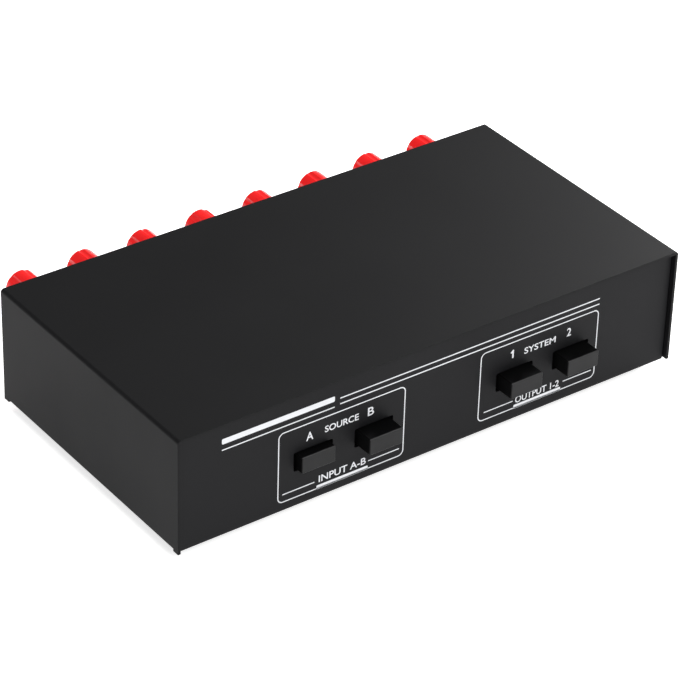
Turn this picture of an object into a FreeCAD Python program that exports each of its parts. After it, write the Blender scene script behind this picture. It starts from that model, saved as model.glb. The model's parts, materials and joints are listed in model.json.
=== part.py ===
import FreeCAD, Part
import math
import os

from FreeCAD import Vector

# Speaker selector switch, in millimetres.
# The front panel faces -Y, +X is to the right of someone facing it, +Z is up.
# The origin is under the middle of the whole object, on the surface that its feet stand on.

# Case
case_width = 190.0
case_depth = 99.0
case_height = 40.5
sheet = 1.0
bend_radius = 2.0
panel_setback = 1.5
side_gap = 0.45
top_gap = 0.4
flange_width = 10.0
tip_length = 4.0
tip_drop = 0.3
tip_height = 5.0

# Feet and screws under the floor
foot_height = 3.0
foot_radius = 6.0
foot_inset_x = 15.0
foot_inset_y = 15.0
foot_draft = 0.8
foot_edge = 0.5
cover_screw_inset_x = 6.0
cover_screw_inset_y = 27.0
cover_screw_length = 5.0
m3_radius = 1.45
m3_clearance_radius = 1.7
m3_thread_radius = 1.5
screw_head_radius = 2.75
screw_head_height = 1.6
screw_head_rounding = 0.72
screw_slot_length = 3.4
screw_slot_width = 0.8
screw_slot_depth = 0.7
flange_collar_radius = 2.6
flange_collar_height = 1.5

# Push buttons
cap_width = 12.3
cap_height = 5.8
cap_depth = 12.0
cap_edge = 0.35
cap_wall = 1.2
cap_face = 1.6
button_reach = 6.5
latch_travel = 3.5
full_travel = 4.3
button_pitch = 22.5
amplifier_group_x = -34.2
speaker_group_x = 42.6
button_height = 15.65
window_gap_x = 1.0
window_gap_z = 0.45
window_corner = 0.5

# Push switches behind the panel
housing_width = 10.4
housing_length = 22.0
housing_height = 8.6
housing_wall = 1.4
housing_clearance = 1.2
housing_chamfer = 0.6
stem_size = 3.4
stem_clearance = 0.25
stem_in_housing = 11.0
chamber_size = 5.4
guide_length = 6.0
peg_radius = 0.8
peg_from_front = 4.0
peg_clearance = 0.2
slider_thickness = 0.8
slider_gap = 0.15
slider_travel = 1.0
slider_overhang = 2.5
slider_margin = 2.2
rail_length = 6.0
rail_width = 1.0
rail_lip = 0.6
spring_radius = 1.7
spring_wire_radius = 0.25
spring_turns = 5
spring_end_gap = 0.15

# Switch board
board_thickness = 1.6
board_corner = 1.5
board_front_gap = 11.5
board_rear_gap = 10.0
board_side_gap = 8.0
standoff_radius = 2.8
standoff_inset = 5.0
board_screw_length = 4.0

# Binding posts through the rear panel
post_columns = 8
post_pitch = 22.5
post_row_spacing = 19.0
red_row_height = 28.25
collar_radius = 5.4
collar_length = 3.2
collar_edge = 0.4
boss_clearance = 0.2
boss_radius = 3.8
post_radius = 3.0
post_chamfer = 0.3
post_seat_depth = 2.0
post_seat_clearance = 0.05
stud_radius = 1.95
stud_clearance = 0.15
thread_pitch = 0.75
unscrew_turns = 4
plug_radius = 2.0
plug_depth = 10.5
wire_hole_radius = 0.9
nut_radius = 5.4
nut_length = 13.2
nut_clearance = 0.05
nut_lip = 0.8
nut_lip_radius = 2.5
nut_edge = 0.6
nut_flutes = 6
flute_radius = 1.7
flute_depth = 0.42
flute_end = 1.2
post_end_gap = 0.3
ring_radius = 4.6
ring_thickness = 0.8
ring_gap = 0.2
insulator_thickness = 1.5
lug_thickness = 0.5
lug_radius = 4.0
lug_tab_width = 3.0
lug_tab_length = 8.0
lug_eye_radius = 0.8
hex_across_flats = 7.0
hex_thickness = 3.2
hex_thread_clearance = 0.05
stud_tail = 1.2

# Wires from the lugs to the board, and how far from its rear edge each row of them lands
wire_radius = 0.7
wire_bend = 4.5
red_wire_inset = 9.0
black_wire_inset = 4.0

# How far each red and black nut is turned, in degrees, as they were left by hand
red_nut_turns = [9, 31, 18, 4, 22, 40, 27, 36]
black_nut_turns = [25, 2, 33, 14, 44, 19, 8, 29]

# A cutting shape runs past what it cuts, and two shapes that become one piece run into each other.
past = 1.0
root = 0.5
# A length under this is taken as none when edges are picked.
hair = 0.01

# Unscrewed as far as it goes, a nut leaves the wire hole open in the middle of the gap.
nut_travel = thread_pitch * unscrew_turns
nut_reach = collar_length + ring_gap + ring_thickness + ring_gap + nut_length
front_reach = button_reach - panel_setback
rear_reach = nut_reach - panel_setback
overall_depth = front_reach + case_depth + rear_reach

case_front_y = -overall_depth / 2 + front_reach
case_rear_y = case_front_y + case_depth
panel_y = case_front_y + panel_setback
panel_back_y = panel_y + sheet
rear_panel_y = case_rear_y - panel_setback
rear_panel_inner_y = rear_panel_y - sheet

floor_bottom_z = foot_height
floor_top_z = floor_bottom_z + sheet
cover_bottom_z = floor_top_z
cover_top_z = cover_bottom_z + case_height
cover_inner_top_z = cover_top_z - sheet
panel_top_z = cover_inner_top_z - top_gap
panel_half_width = case_width / 2 - sheet - side_gap

button_z = cover_bottom_z + button_height
cap_front_y = panel_y - button_reach
cap_back_y = cap_front_y + cap_depth
housing_front_y = cap_back_y + full_travel + housing_clearance
housing_back_y = housing_front_y + housing_length
housing_bottom_z = button_z - housing_height / 2
housing_top_z = button_z + housing_height / 2
slider_front_y = housing_front_y + peg_from_front - peg_radius - slider_margin
slider_rear_y = housing_front_y + peg_from_front + latch_travel + peg_radius + slider_margin
spring_start_y = housing_front_y + stem_in_housing + spring_end_gap
spring_end_y = housing_back_y - housing_wall - spring_end_gap

red_row_z = cover_bottom_z + red_row_height
black_row_z = red_row_z - post_row_spacing
post_xs = [(i - (post_columns - 1) / 2) * post_pitch for i in range(post_columns)]
collar_end_y = rear_panel_y + collar_length
ring_start_y = collar_end_y + ring_gap
nut_start_y = ring_start_y + ring_thickness + ring_gap
nut_end_y = nut_start_y + nut_length
post_end_y = nut_end_y - nut_lip - post_end_gap
post_seat_y = collar_end_y - post_seat_depth
insulator_start_y = rear_panel_inner_y - insulator_thickness
lug_start_y = insulator_start_y - lug_thickness
hex_start_y = lug_start_y - hex_thickness
stud_start_y = hex_start_y - stud_tail

board_top_z = housing_bottom_z
board_bottom_z = board_top_z - board_thickness
board_front_y = panel_back_y + board_front_gap
board_rear_y = stud_start_y - board_rear_gap
board_half_width = case_width / 2 - sheet - board_side_gap

buttons = {
    "a": {"x": amplifier_group_x - button_pitch / 2, "pressed": latch_travel, "peg": True},
    "b": {"x": amplifier_group_x + button_pitch / 2, "pressed": 0.0, "peg": True},
    "1": {"x": speaker_group_x - button_pitch / 2, "pressed": 0.0, "peg": False},
    "2": {"x": speaker_group_x + button_pitch / 2, "pressed": 0.0, "peg": False},
}


def block(x0, x1, y0, y1, z0, z1):
    return Part.makeBox(x1 - x0, y1 - y0, z1 - z0, Vector(x0, y0, z0))


def centred_block(x, z, width, height, y0, y1):
    return block(x - width / 2, x + width / 2, y0, y1, z - height / 2, z + height / 2)


def rod_y(x, z, radius, y0, y1):
    return Part.makeCylinder(radius, y1 - y0, Vector(x, y0, z), Vector(0, 1, 0))


def rod_z(x, y, radius, z0, z1):
    return Part.makeCylinder(radius, z1 - z0, Vector(x, y, z0), Vector(0, 0, 1))


def edges_where(shape, test):
    return [edge for edge in shape.Edges if test(edge)]


def runs_along(edge, axis):
    # The box round a straight edge along one axis has no size in the other two directions.
    box = edge.BoundBox
    lengths = {"x": box.XLength, "y": box.YLength, "z": box.ZLength}
    along = lengths.pop(axis)
    return along > hair and max(lengths.values()) < hair


def is_rim_at_y(edge, y):
    # A circle round the Y axis, at one place along it.
    box = edge.BoundBox
    return box.XLength > hair and abs(box.YMin - y) < hair and abs(box.YMax - y) < hair


def is_rim_at_z(edge, z):
    box = edge.BoundBox
    return box.XLength > hair and abs(box.ZMin - z) < hair and abs(box.ZMax - z) < hair


def fuse_all(shapes):
    return shapes[0].multiFuse(shapes[1:]).removeSplitter()


def cut_all(shape, tools):
    return shape.cut(Part.makeCompound(tools))


def save(name, shapes):
    solids = [solid for shape in shapes for solid in shape.Solids]
    for solid in solids:
        if not solid.isValid():
            print("invalid solid in", name)
    result = solids[0] if len(solids) == 1 else Part.makeCompound(solids)
    result.exportStep("parts/" + name + ".step")
    print(name, len(solids), "solid(s),", round(sum(s.Volume for s in solids), 2), "mm3")


def rounded_prism(half_width, y0, y1, z0, z1, radius):
    # A box that is rounded along its four long edges, which run from front to back.
    body = block(-half_width, half_width, y0, y1, z0, z1)
    return body.makeFillet(radius, edges_where(body, lambda e: runs_along(e, "y")))


def corner_points(inset_x, inset_y):
    x = case_width / 2 - inset_x
    return [(sx * x, y) for sx in (-1, 1) for y in (case_front_y + inset_y, case_rear_y - inset_y)]


def flange_screw_points():
    return corner_points(cover_screw_inset_x, cover_screw_inset_y)


def standoff_points():
    # The standoffs are in line with the gap between the two outermost columns of posts.
    x = post_xs[-1] - post_pitch / 2
    return [(sx * x, y) for sx in (-1, 1)
            for y in (board_front_y + standoff_inset, board_rear_y - standoff_inset)]


def make_top_cover():
    # One sheet folded into an upside-down U, with a flange turned in along the foot of each side.
    half = case_width / 2
    outer = rounded_prism(half, case_front_y, case_rear_y, cover_bottom_z, cover_top_z, bend_radius)
    inner = rounded_prism(half - sheet, case_front_y - past, case_rear_y + past,
                          cover_bottom_z + sheet, cover_inner_top_z, bend_radius - sheet)
    shell = outer.cut(inner)
    open_half = half - flange_width
    shell = shell.cut(block(-open_half, open_half, case_front_y - past, case_rear_y + past,
                            cover_bottom_z - past, cover_bottom_z + sheet + past))
    # The flange stops short of both ends, where the side goes straight down as an unbent tip.
    for y0, y1 in ((case_front_y, case_front_y + tip_length), (case_rear_y - tip_length, case_rear_y)):
        shell = shell.cut(block(-half - past, half + past, y0, y1,
                                cover_bottom_z - past, cover_bottom_z + tip_height))
        for side in (-1, 1):
            x0, x1 = sorted((side * half, side * (half - sheet)))
            tip = block(x0, x1, y0, y1, cover_bottom_z - tip_drop, cover_bottom_z + tip_height)
            shell = shell.fuse(tip)
    shell = shell.removeSplitter()
    # A short collar drawn up from the flange holds the thread of each cover screw.
    collar_top_z = cover_bottom_z + sheet + flange_collar_height
    for x, y in flange_screw_points():
        shell = shell.fuse(rod_z(x, y, flange_collar_radius, cover_bottom_z + sheet / 2, collar_top_z))
        shell = shell.cut(rod_z(x, y, m3_thread_radius, cover_bottom_z - past, collar_top_z + past))
    save("top_cover", [shell.removeSplitter()])


def make_chassis():
    # One sheet folded into a U: the front panel, the floor and the rear panel.
    half = panel_half_width
    outer = block(-half, half, panel_y, rear_panel_y, floor_bottom_z, panel_top_z)
    bends = edges_where(outer, lambda e: runs_along(e, "x") and e.BoundBox.ZMax < floor_bottom_z + hair)
    outer = outer.makeFillet(bend_radius, bends)
    inner = block(-half - past, half + past, panel_back_y, rear_panel_inner_y, floor_top_z, panel_top_z + past)
    bends = edges_where(inner, lambda e: runs_along(e, "x") and e.BoundBox.ZMax < floor_top_z + hair)
    inner = inner.makeFillet(bend_radius - sheet, bends)
    tray = outer.cut(inner)
    holes = []
    for button in buttons.values():
        window = centred_block(button["x"], button_z, cap_width + 2 * window_gap_x,
                               cap_height + 2 * window_gap_z, panel_y - past, panel_back_y + past)
        corners = edges_where(window, lambda e: runs_along(e, "y"))
        holes.append(window.makeFillet(window_corner, corners))
    for x, z in terminal_places():
        holes.append(rod_y(x, z, boss_radius + boss_clearance, rear_panel_inner_y - past, rear_panel_y + past))
    for x, y in flange_screw_points() + standoff_points():
        holes.append(rod_z(x, y, m3_clearance_radius, floor_bottom_z - past, floor_top_z + past))
    save("chassis", [cut_all(tray, holes)])


def pan_screw_up(x, y, head_top_z, length):
    # A pan-head screw put in from below: its head hangs under head_top_z and its shank points up.
    low = head_top_z - screw_head_height
    head = rod_z(x, y, screw_head_radius, low, head_top_z)
    head = head.makeFillet(screw_head_rounding, edges_where(head, lambda e: is_rim_at_z(e, low)))
    shank = rod_z(x, y, m3_radius, head_top_z, head_top_z + length)
    reach = screw_slot_length / 2
    half = screw_slot_width / 2
    slots = [block(x - reach, x + reach, y - half, y + half, low - past, low + screw_slot_depth),
             block(x - half, x + half, y - reach, y + reach, low - past, low + screw_slot_depth)]
    return head.fuse(shank).cut(fuse_all(slots))


def turned_over(shape, x, y, z):
    flipped = shape.copy()
    flipped.rotate(Vector(x, y, z), Vector(1, 0, 0), 180)
    return flipped


def make_screws_and_feet():
    save("cover_screws", [pan_screw_up(x, y, floor_bottom_z, cover_screw_length)
                          for x, y in flange_screw_points()])
    feet = []
    for x, y in corner_points(foot_inset_x, foot_inset_y):
        foot = Part.makeCone(foot_radius - foot_draft, foot_radius, foot_height, Vector(x, y, 0))
        feet.append(foot.makeFillet(foot_edge, edges_where(foot, lambda e: is_rim_at_z(e, 0))))
    save("rubber_feet", feet)


def make_caps_and_stems():
    hollow_height = cap_height - 2 * cap_wall
    neck_height = min(stem_size, hollow_height)
    for name, button in buttons.items():
        x = button["x"]
        front = cap_front_y + button["pressed"]
        back = cap_back_y + button["pressed"]
        cap = centred_block(x, button_z, cap_width, cap_height, front, back)
        face_edges = edges_where(cap, lambda e: e.BoundBox.YMax < front + hair or runs_along(e, "y"))
        cap = cap.makeFillet(cap_edge, face_edges)
        hollow = centred_block(x, button_z, cap_width - 2 * cap_wall, hollow_height,
                               front + cap_face, back + past)
        socket = centred_block(x, button_z, stem_size + 2 * cap_wall, hollow_height,
                               front + cap_face, back)
        cap = cap.cut(hollow).fuse(socket)
        # The stem is pushed into the socket, which it fills from side to side.
        stem_start = front + cap_face + cap_wall
        cap = cap.cut(centred_block(x, button_z, stem_size, neck_height, stem_start, back + past))
        save("button_cap_" + name, [cap.removeSplitter()])
        neck = centred_block(x, button_z, stem_size, neck_height, stem_start, back)
        stem_end = housing_front_y + stem_in_housing + button["pressed"]
        stem = neck.fuse(centred_block(x, button_z, stem_size, stem_size, back, stem_end))
        if button["peg"]:
            peg_y = housing_front_y + peg_from_front + button["pressed"]
            peg_top = housing_top_z + slider_gap + slider_thickness
            stem = stem.fuse(rod_z(x, peg_y, peg_radius, button_z, peg_top))
        save("plunger_" + name, [stem.removeSplitter()])


def peg_slot(x0, y0, x1, y1, z0, z1):
    # The room that a peg needs on a straight way from (x0, y0) to (x1, y1).
    radius = peg_radius + peg_clearance
    length = math.hypot(x1 - x0, y1 - y0)
    angle = math.degrees(math.atan2(y1 - y0, x1 - x0))
    bar = Part.makeBox(length, 2 * radius, z1 - z0, Vector(0, -radius, 0))
    bar.rotate(Vector(0, 0, 0), Vector(0, 0, 1), angle)
    bar.translate(Vector(x0, y0, z0))
    return fuse_all([bar, rod_z(x0, y0, radius, z0, z1), rod_z(x1, y1, radius, z0, z1)])


def slider_rails(x):
    # Two rails with lips keep the sliding latch plate down on the housing.
    rails = []
    half = rail_length / 2
    lip_z = housing_top_z + slider_thickness + 2 * slider_gap
    for edge_y, way in ((slider_front_y - slider_gap, -1), (slider_rear_y + slider_gap, 1)):
        y0, y1 = sorted((edge_y, edge_y + way * rail_width))
        rails.append(block(x - half, x + half, y0, y1, housing_top_z - root, lip_z + rail_lip))
        y0, y1 = sorted((edge_y - way * rail_lip, edge_y + way * rail_width))
        rails.append(block(x - half, x + half, y0, y1, lip_z, lip_z + rail_lip))
    return rails


def make_switch_housings():
    housings = []
    guide = stem_size + 2 * stem_clearance
    for button in buttons.values():
        x = button["x"]
        body = centred_block(x, button_z, housing_width, housing_height, housing_front_y, housing_back_y)
        corners = edges_where(body, lambda e: runs_along(e, "y") and e.BoundBox.ZMin > button_z)
        body = body.makeChamfer(housing_chamfer, corners)
        bore = centred_block(x, button_z, guide, guide,
                             housing_front_y - past, housing_front_y + guide_length + past)
        chamber = centred_block(x, button_z, chamber_size, chamber_size,
                                housing_front_y + guide_length, housing_back_y - housing_wall)
        body = body.cut(bore).cut(chamber)
        if button["peg"]:
            peg_y = housing_front_y + peg_from_front
            body = body.cut(peg_slot(x, peg_y, x, peg_y + latch_travel, button_z, housing_top_z + past))
            body = body.multiFuse(slider_rails(x))
        housings.append(body.removeSplitter())
    save("switch_housings", housings)


def make_latch_slider():
    # The plate has one slanted slot for each peg, so that pressing either button frees the other.
    xa = buttons["a"]["x"]
    xb = buttons["b"]["x"]
    z0 = housing_top_z + slider_gap
    z1 = z0 + slider_thickness
    reach = housing_width / 2 + slider_overhang
    plate = block(xa - reach, xb + reach, slider_front_y, slider_rear_y, z0, z1)
    peg_out_y = housing_front_y + peg_from_front
    peg_in_y = peg_out_y + latch_travel
    slots = [peg_slot(xa, peg_in_y, xa - slider_travel, peg_out_y, z0 - past, z1 + past),
             peg_slot(xb, peg_out_y, xb - slider_travel, peg_in_y, z0 - past, z1 + past)]
    save("latch_slider", [cut_all(plate, slots)])


def make_springs():
    # Each half turn is an arc, tilted so that the wire moves on steadily as it goes round.
    for name, button in buttons.items():
        start = spring_start_y + button["pressed"] + spring_wire_radius
        step = (spring_end_y - spring_wire_radius - start) / (2 * spring_turns)
        halves = []
        for i in range(2 * spring_turns):
            side = 1 if i % 2 == 0 else -1
            wire_start = Vector(button["x"] + side * spring_radius, start + i * step, button_z)
            middle = Vector(button["x"], start + (i + 0.5) * step, button_z)
            disc = Part.Face(Part.Wire([Part.makeCircle(spring_wire_radius, wire_start, Vector(0, 0, 1))]))
            halves.append(disc.revolve(middle, Vector(side * step, 2 * spring_radius, 0), 180))
        save("return_spring_" + name, [fuse_all(halves)])


def make_board():
    board = block(-board_half_width, board_half_width, board_front_y, board_rear_y, board_bottom_z, board_top_z)
    board = board.makeFillet(board_corner, edges_where(board, lambda e: runs_along(e, "z")))
    holes = [rod_z(x, y, m3_clearance_radius, board_bottom_z - past, board_top_z + past)
             for x, y in standoff_points()]
    save("switch_board", [cut_all(board, holes)])
    standoffs = []
    screws = []
    for x, y in standoff_points():
        post = rod_z(x, y, standoff_radius, floor_top_z, board_bottom_z)
        standoffs.append(post.cut(rod_z(x, y, m3_thread_radius, floor_top_z - past, board_bottom_z + past)))
        screws.append(pan_screw_up(x, y, floor_bottom_z, board_screw_length))
        upper = pan_screw_up(x, y, board_top_z, board_screw_length)
        screws.append(turned_over(upper, x, y, board_top_z))
    save("board_standoffs", standoffs)
    save("board_screws", screws)


def terminal_places():
    return [(x, z) for z in (red_row_z, black_row_z) for x in post_xs]


def make_terminal_bases():
    for name, z in (("red_terminal_bases", red_row_z), ("black_terminal_bases", black_row_z)):
        bases = []
        for x in post_xs:
            collar = rod_y(x, z, collar_radius, rear_panel_y, collar_end_y)
            collar = collar.makeFillet(collar_edge, edges_where(collar, lambda e: is_rim_at_y(e, collar_end_y)))
            base = collar.fuse(rod_y(x, z, boss_radius, rear_panel_inner_y, rear_panel_y + root))
            seat_radius = post_radius + post_seat_clearance
            base = base.cut(rod_y(x, z, seat_radius, post_seat_y, collar_end_y + past))
            hole_radius = stud_radius + stud_clearance
            base = base.cut(rod_y(x, z, hole_radius, rear_panel_inner_y - past, post_seat_y + past))
            bases.append(base.removeSplitter())
        save(name, bases)


def make_terminal_posts():
    # Each post is a tube for a 4 mm plug with a cross hole for bare wire, and a stud through the panel.
    posts = []
    for x, z in terminal_places():
        body = rod_y(x, z, post_radius, post_seat_y, post_end_y)
        body = body.makeChamfer(post_chamfer, edges_where(body, lambda e: is_rim_at_y(e, post_end_y)))
        post = body.fuse(rod_y(x, z, stud_radius, stud_start_y, post_seat_y + root)).removeSplitter()
        post = post.cut(rod_y(x, z, plug_radius, post_end_y - plug_depth, post_end_y + past))
        hole_start = Vector(x - post_radius - past, collar_end_y + nut_travel / 2, z)
        cross = Part.makeCylinder(wire_hole_radius, 2 * (post_radius + past), hole_start, Vector(1, 0, 0))
        posts.append(post.cut(cross))
    save("terminal_posts", posts)


def hexagon(x, y, z, across_flats, thickness):
    corner = across_flats / math.sqrt(3)
    angles = [math.radians(60 * i) for i in range(6)]
    points = [Vector(x + corner * math.cos(a), y, z + corner * math.sin(a)) for a in angles]
    return Part.Face(Part.makePolygon(points + points[:1])).extrude(Vector(0, thickness, 0))


def make_terminal_hardware():
    insulators = []
    lugs = []
    nuts = []
    hole = stud_radius + stud_clearance
    for x, z in terminal_places():
        ring = rod_y(x, z, collar_radius, insulator_start_y, rear_panel_inner_y)
        insulators.append(ring.cut(rod_y(x, z, hole, insulator_start_y - past, rear_panel_inner_y + past)))
        eye = rod_y(x, z, lug_radius, lug_start_y, insulator_start_y)
        tab = block(x - lug_tab_width / 2, x + lug_tab_width / 2, lug_start_y, insulator_start_y,
                    z, z + lug_tab_length + lug_tab_width / 2)
        holes = [rod_y(x, z, hole, lug_start_y - past, insulator_start_y + past),
                 rod_y(x, z + lug_tab_length, lug_eye_radius, lug_start_y - past, insulator_start_y + past)]
        lugs.append(cut_all(eye.fuse(tab).removeSplitter(), holes))
        thread = rod_y(x, z, stud_radius + hex_thread_clearance, hex_start_y - past, lug_start_y + past)
        nuts.append(hexagon(x, hex_start_y, z, hex_across_flats, hex_thickness).cut(thread))
    save("terminal_insulators", insulators)
    save("solder_lugs", lugs)
    save("terminal_hex_nuts", nuts)


def make_nut(x, z, turn):
    # A finger nut: a hollow plastic cap with shallow flutes, an edge at both ends and a lip at its mouth.
    nut = rod_y(x, z, nut_radius, nut_start_y, nut_end_y)
    rims = edges_where(nut, lambda e: is_rim_at_y(e, nut_start_y) or is_rim_at_y(e, nut_end_y))
    nut = nut.makeFillet(nut_edge, rims)
    nut = nut.cut(rod_y(x, z, post_radius + nut_clearance, nut_start_y - past, nut_end_y - nut_lip))
    nut = nut.cut(rod_y(x, z, nut_lip_radius, nut_end_y - nut_lip - past, nut_end_y + past))
    centre = nut_radius + flute_radius - flute_depth
    flutes = []
    for i in range(nut_flutes):
        angle = math.radians(turn + 360 * i / nut_flutes)
        flute_x = x + centre * math.cos(angle)
        flute_z = z + centre * math.sin(angle)
        flutes.append(rod_y(flute_x, flute_z, flute_radius, nut_start_y + flute_end, nut_end_y + past))
    return cut_all(nut, flutes)


def make_ring(x, z):
    ring = rod_y(x, z, ring_radius, ring_start_y, ring_start_y + ring_thickness)
    return ring.cut(rod_y(x, z, post_radius + nut_clearance, ring_start_y - past, nut_start_y + past))


def make_nuts_and_rings():
    rows = (("red", red_row_z, red_nut_turns), ("black", black_row_z, black_nut_turns))
    for colour, z, turns in rows:
        for i, x in enumerate(post_xs):
            number = str(i + 1)
            save(colour + "_nut_" + number, [make_nut(x, z, turns[i])])
            save(colour + "_clamp_ring_" + number, [make_ring(x, z)])


def make_wires():
    # Each wire runs forward from the eye of its lug and turns down onto the board.
    # The upper row lands further forward than the lower one, so that no two wires cross.
    wires = []
    slope = math.sqrt(0.5)
    for x, row_z in terminal_places():
        inset = red_wire_inset if row_z == red_row_z else black_wire_inset
        y = board_rear_y - inset
        z = row_z + lug_tab_length
        start = Vector(x, lug_start_y, z)
        bend_start = Vector(x, y + wire_bend, z)
        bend_middle = Vector(x, y + wire_bend * (1 - slope), z - wire_bend * (1 - slope))
        bend_end = Vector(x, y, z - wire_bend)
        foot = Vector(x, y, board_top_z)
        path = Part.Wire([Part.makeLine(start, bend_start),
                          Part.Arc(bend_start, bend_middle, bend_end).toShape(),
                          Part.makeLine(bend_end, foot)])
        profile = Part.Wire([Part.makeCircle(wire_radius, start, Vector(0, 1, 0))])
        wires.append(path.makePipeShell([profile], True, True))
    save("hook_up_wires", wires)


os.makedirs("parts", exist_ok=True)
make_top_cover()
make_chassis()
make_screws_and_feet()
make_caps_and_stems()
make_switch_housings()
make_latch_slider()
make_springs()
make_board()
make_terminal_bases()
make_terminal_posts()
make_terminal_hardware()
make_nuts_and_rings()
make_wires()
print("overall depth", round(overall_depth, 3), "height", cover_top_z)
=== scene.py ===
import json
import math

import bmesh
import bpy
from mathutils import Matrix, Vector

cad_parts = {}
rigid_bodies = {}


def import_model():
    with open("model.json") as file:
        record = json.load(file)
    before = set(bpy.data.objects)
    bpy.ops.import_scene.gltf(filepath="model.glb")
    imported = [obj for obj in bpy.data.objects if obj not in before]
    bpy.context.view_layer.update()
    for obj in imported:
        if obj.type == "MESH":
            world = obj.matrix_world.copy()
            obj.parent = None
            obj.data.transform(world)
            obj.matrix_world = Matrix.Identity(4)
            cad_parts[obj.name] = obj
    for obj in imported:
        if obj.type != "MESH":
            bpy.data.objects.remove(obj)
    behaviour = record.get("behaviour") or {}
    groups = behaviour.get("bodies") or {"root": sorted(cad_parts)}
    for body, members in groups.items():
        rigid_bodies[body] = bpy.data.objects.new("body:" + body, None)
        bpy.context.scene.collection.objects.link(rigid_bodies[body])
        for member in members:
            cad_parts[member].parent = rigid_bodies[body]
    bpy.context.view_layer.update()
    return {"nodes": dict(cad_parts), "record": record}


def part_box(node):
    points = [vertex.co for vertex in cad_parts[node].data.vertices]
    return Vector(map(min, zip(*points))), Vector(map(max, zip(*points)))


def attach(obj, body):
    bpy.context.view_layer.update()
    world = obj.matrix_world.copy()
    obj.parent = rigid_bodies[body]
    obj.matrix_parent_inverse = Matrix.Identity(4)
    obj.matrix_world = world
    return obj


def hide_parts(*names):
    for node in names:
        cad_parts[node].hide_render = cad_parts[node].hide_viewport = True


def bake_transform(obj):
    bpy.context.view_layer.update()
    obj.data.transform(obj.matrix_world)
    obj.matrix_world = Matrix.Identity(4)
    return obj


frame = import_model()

mm = 0.001
weld = 0.001 * mm        # points nearer than this are one point
along = 0.9              # a direction with more than this share of an axis runs along it
coverLow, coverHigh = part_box("top_cover")
trayLow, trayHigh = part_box("chassis")
print("frame loaded:", len(frame["nodes"]), "CAD nodes")


# camera, seen from the front left and above, as in the photograph
shot = {
    "azimuth": -36.77,
    "elevation": 33.08,
    "roll": 1.73,
    "distance": 1.0191,
    "lens": 170.8,
    "slideRight": -0.87 * mm,
    "slideUp": -4.92 * mm,
    "caseHeight": 40.5 * mm,
}
caseFoot = coverHigh.z - shot["caseHeight"]


def viewAxes(azimuth, elevation, roll):
    a = math.radians(azimuth)
    e = math.radians(elevation)
    back = Vector((math.sin(a) * math.cos(e), -math.cos(a) * math.cos(e), math.sin(e)))
    right = (-back).cross(Vector((0, 0, 1))).normalized()
    up = right.cross(-back)
    r = math.radians(roll)
    rolledRight = right * math.cos(r) + up * math.sin(r)
    rolledUp = up * math.cos(r) - right * math.sin(r)
    return rolledRight, rolledUp, back


def placeCamera():
    middle = Vector((0, (coverLow.y + coverHigh.y) / 2, coverHigh.z - shot["caseHeight"] / 2))
    right, up, back = viewAxes(shot["azimuth"], shot["elevation"], shot["roll"])
    spot = middle + back * shot["distance"] + right * shot["slideRight"] + up * shot["slideUp"]
    data = bpy.data.cameras.new("camera")
    data.lens = shot["lens"]
    data.sensor_width = 36
    data.clip_end = 20
    camera = bpy.data.objects.new("camera", data)
    turn = Matrix((right, up, back)).transposed().to_4x4()
    camera.matrix_world = Matrix.Translation(spot) @ turn
    bpy.context.scene.collection.objects.link(camera)
    bpy.context.scene.camera = camera


placeCamera()
print("camera placed")


# small helpers for modelling with operators
def deselectAll():
    for other in bpy.context.view_layer.objects:
        other.select_set(False)


def activate(piece):
    deselectAll()
    piece.select_set(True)
    bpy.context.view_layer.objects.active = piece
    return piece


def justAdded(name):
    piece = bpy.context.object
    piece.name = name
    piece.data.name = name
    return activate(piece)


def applyPlace(piece):
    activate(piece)
    bpy.ops.object.transform_apply(location=True, rotation=True, scale=True)
    return piece


def startEditing(piece):
    activate(piece)
    bpy.ops.object.mode_set(mode="EDIT")
    bpy.ops.mesh.select_mode(type="VERT")
    bpy.ops.mesh.select_all(action="SELECT")


def stopEditing(outward=False):
    if outward:
        bpy.ops.mesh.select_all(action="SELECT")
        bpy.ops.mesh.normals_make_consistent(inside=False)
    bpy.ops.object.mode_set(mode="OBJECT")


def pick(piece, kind, test):
    # selects the vertices, edges or faces of a piece in edit mode for which test is true
    bpy.ops.mesh.select_mode(type=kind)
    bpy.ops.mesh.select_all(action="DESELECT")
    shape = bmesh.from_edit_mesh(piece.data)
    parts = {"VERT": shape.verts, "EDGE": shape.edges, "FACE": shape.faces}[kind]
    for part in [part for part in parts if test(part)]:
        part.select_set(True)
    bmesh.update_edit_mesh(piece.data)


def edgeWay(edge):
    return (edge.verts[1].co - edge.verts[0].co).normalized()


def edgeMiddle(edge):
    return (edge.verts[1].co + edge.verts[0].co) / 2


def sliceAt(spot, way):
    # cuts the selected faces along a plane, and keeps both sides
    bpy.ops.mesh.bisect(plane_co=spot, plane_no=way)


def pull(x, y, z):
    bpy.ops.mesh.extrude_region_move(TRANSFORM_OT_translate={"value": (x, y, z)})


def addModifier(piece, kind, settings):
    activate(piece)
    modifier = piece.modifiers.new(kind.lower(), kind)
    for key, value in settings.items():
        setattr(modifier, key, value)
    bpy.ops.object.modifier_apply(modifier=modifier.name)


def softenEdges(piece, width, degrees=40):
    # a fine rounding of the sharp edges, which catches the light as paint and plastic do
    addModifier(piece, "BEVEL", {"width": width, "segments": 2, "limit_method": "ANGLE",
                                 "angle_limit": math.radians(degrees), "harden_normals": False})


def smoothByAngle(piece, degrees=35):
    activate(piece)
    bpy.ops.object.shade_smooth_by_angle(angle=math.radians(degrees))


def evenShading(piece):
    # large flat faces keep an even shade beside their fine roundings
    addModifier(piece, "WEIGHTED_NORMAL", {"keep_sharp": True})


def finishPiece(piece, material, body, slot, *replaced):
    piece.data.materials.clear()
    piece.data.materials.append(material)
    if body:
        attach(piece, body)
    if replaced:
        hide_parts(*replaced)
    return piece


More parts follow.
